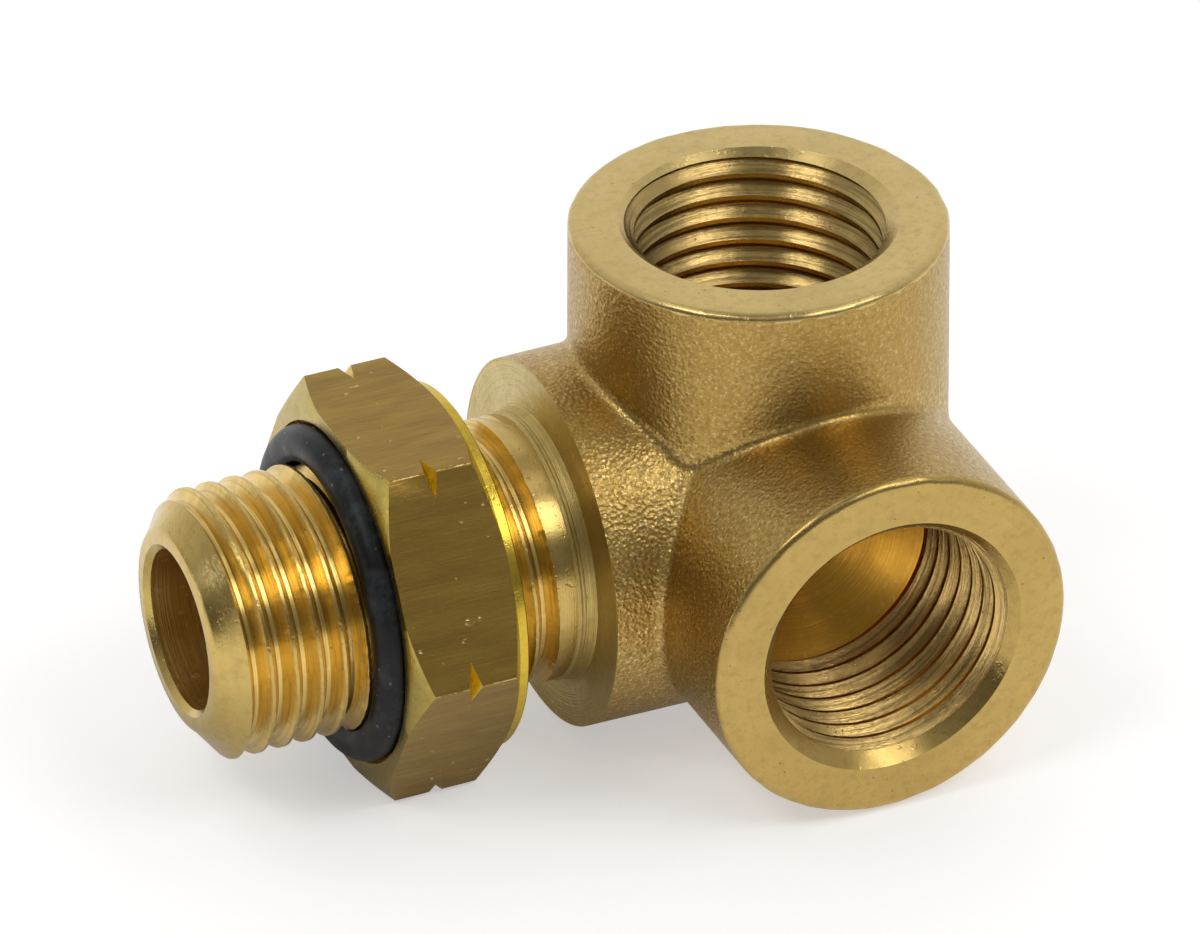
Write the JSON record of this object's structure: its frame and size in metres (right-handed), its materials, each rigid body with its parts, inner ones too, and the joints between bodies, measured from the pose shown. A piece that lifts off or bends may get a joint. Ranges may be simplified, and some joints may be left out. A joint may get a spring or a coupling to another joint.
{
  "type": "y-fitting",
  "caption": "Brass corner fitting that joins threaded female ports to a threaded male stud, with a hexagonal lock nut and a rubber sealing ring on the stud.",
  "frame": {"origin": "centre of the machined shoulder face around the stud", "axes": "-X along the stud away from the body, -Y along the front port, +Z along the top port"},
  "size_m": [0.0484, 0.0314, 0.03],
  "materials": {
    "body_brass": "cast skin with machined faces and threads",
    "nut_brass": "drawn flats with turned ends",
    "ring_rubber": "matt black"
  },
  "bodies": {
    "fitting": {"fitting_body": "body_brass"},
    "seal": {"o_ring": "ring_rubber"},
    "nut": {"lock_nut": "nut_brass"}
  },
  "joints": [
    {"name": "nut_travel", "type": "slide", "parent": "fitting", "child": "seal", "axis": [1, 0, 0], "range_m": [-0.00605, 0.0034]},
    {"name": "nut_turn", "type": "hinge", "parent": "seal", "child": "nut", "pos_m": [-0.00925, 0, 0], "axis": [1, 0, 0], "range_deg": [-1440, 810]}
  ],
  "couplings": [
    {"joint": "nut_travel", "follows": "nut_turn", "m_per_rad": 0.00023873}
  ]
}
